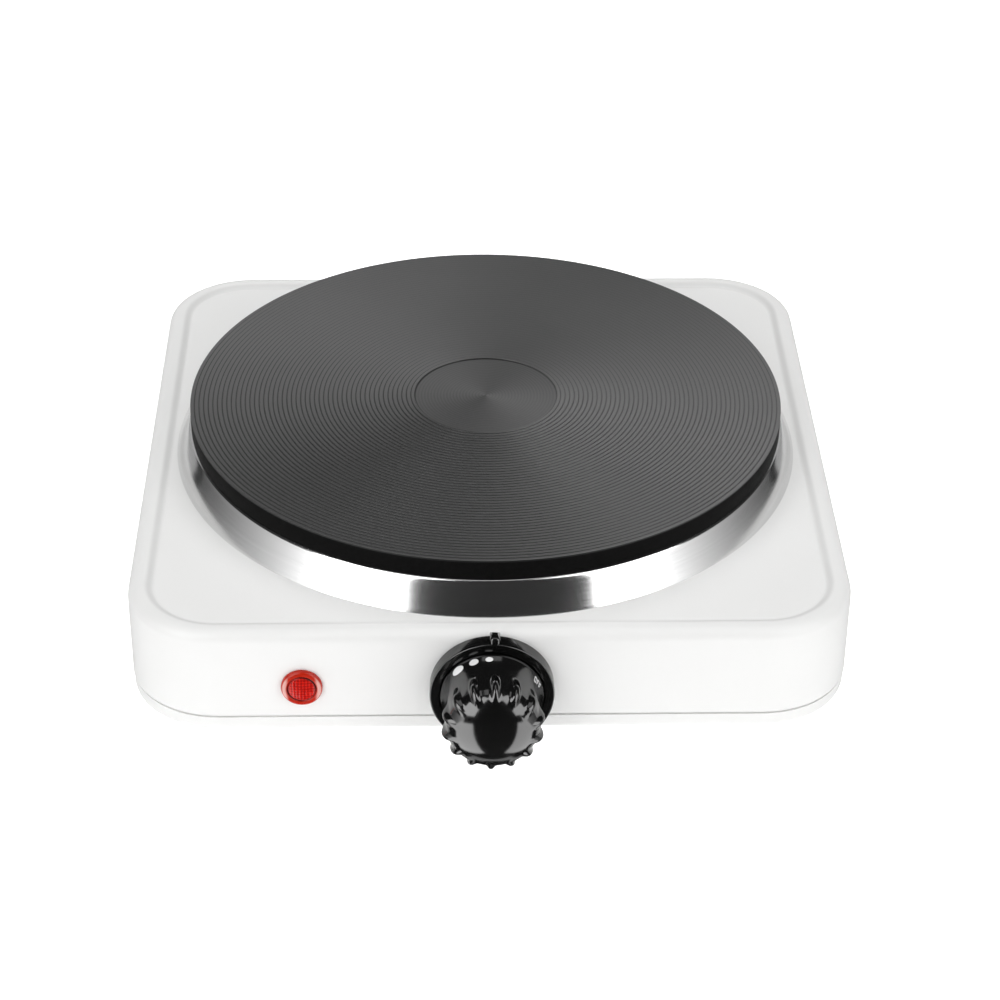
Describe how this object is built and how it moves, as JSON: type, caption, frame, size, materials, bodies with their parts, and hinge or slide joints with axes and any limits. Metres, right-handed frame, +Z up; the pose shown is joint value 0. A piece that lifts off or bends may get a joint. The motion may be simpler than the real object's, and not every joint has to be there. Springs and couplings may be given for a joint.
{
  "type": "single electric hot plate",
  "caption": "Free-standing electric hot plate: ridged cast-iron plate on a stainless spill ring, white steel housing, ribbed thermostat knob and pilot lamp.",
  "frame": {"origin": "on the worktop, under the axis of the cast-iron plate", "axes": "+Z up; the knob and the lamp face -Y; +X to the right seen from the front"},
  "size_m": [0.2124, 0.2452, 0.0595],
  "materials": {
    "white_enamel": "gloss",
    "foot_rubber": "matt",
    "zinc_steel": "satin",
    "cast_iron": "matt, turned ridges",
    "resistance_wire": "oxidised",
    "magnesia": "matt",
    "cover_steel": "satin",
    "stainless": "polished",
    "aluminium_sheet": "mill",
    "white_ceramic": "satin",
    "black_gloss": "gloss",
    "brass": "satin",
    "bimetal": "satin",
    "red_lens": "gloss, translucent",
    "natural_nylon": "satin",
    "clear_glass": "gloss",
    "resistor_tan": "matt",
    "black_matt": "matt",
    "brown_sleeve": "matt",
    "black_sleeve": "matt",
    "blue_sleeve": "matt",
    "green_sleeve": "matt",
    "white_sleeve": "matt"
  },
  "bodies": {
    "body": {"housing": "white_enamel", "base_plate": "white_enamel", "foot_front_left": "foot_rubber", "foot_front_right": "foot_rubber", "foot_rear_left": "foot_rubber", "foot_rear_right": "foot_rubber", "foot_screws": "zinc_steel", "corner_posts": "zinc_steel", "hot_plate": "cast_iron", "heating_coil": "resistance_wire", "insulation": "magnesia", "plate_cover": "cover_steel", "spill_ring": "stainless", "centre_stud": "zinc_steel", "cover_washer": "zinc_steel", "cover_nut": "zinc_steel", "heat_shield": "aluminium_sheet", "clamp_bridge": "cover_steel", "bridge_washer": "zinc_steel", "bridge_nut": "zinc_steel", "plate_terminals": "zinc_steel", "terminal_beads": "white_ceramic", "thermal_fuse": "zinc_steel", "fuse_clip": "zinc_steel", "bezel": "black_gloss", "bush_nut": "zinc_steel", "thermostat_frame": "cover_steel", "thermostat_bush": "brass", "stack_insulators": "white_ceramic", "stack_rivet": "zinc_steel", "bimetal_strip": "bimetal", "blade_root": "brass", "fixed_blade": "brass", "lamp_lens": "red_lens", "lamp_holder": "natural_nylon", "lamp_clip": "zinc_steel", "neon_bulb": "clear_glass", "lamp_resistor": "resistor_tan", "cord_gland": "black_matt", "gland_nut": "black_matt", "terminal_block": "white_ceramic", "block_screws": "zinc_steel", "clamp_screws": "brass", "earth_screw": "zinc_steel", "earth_tongue": "brass", "earth_nut": "zinc_steel", "push_on_terminals": "brass", "live_lead": "brown_sleeve", "switched_lead": "black_sleeve", "element_lead": "black_sleeve", "neutral_lead": "blue_sleeve", "earth_lead": "green_sleeve", "lamp_leads": "white_sleeve"},
    "knob_set": {"knob": "black_gloss", "knob_clip": "zinc_steel", "thermostat_shaft": "zinc_steel", "stop_arm": "cover_steel"},
    "adjuster": {"adjusting_pin": "white_ceramic"},
    "blade": {"contact_blade": "brass"}
  },
  "joints": [
    {"name": "knob_turn", "type": "hinge", "parent": "body", "child": "knob_set", "pos_m": [0, -0.1062, 0.0249], "axis": [0, 1, 0], "range_deg": [-62, 208]},
    {"name": "pin_slide", "type": "slide", "parent": "body", "child": "adjuster", "axis": [0, 1, 0], "range_m": [-0.0001, 0.0003]},
    {"name": "blade_bend", "type": "hinge", "parent": "body", "child": "blade", "pos_m": [0.0105, -0.09615, 0.0249], "axis": [0, 0, -1], "range_deg": [-0.6, 1.8]}
  ],
  "couplings": [
    {"joint": "pin_slide", "follows": "knob_turn", "m_per_rad": 0.000079577},
    {"joint": "blade_bend", "follows": "knob_turn", "ratio": 0.0075788}
  ]
}
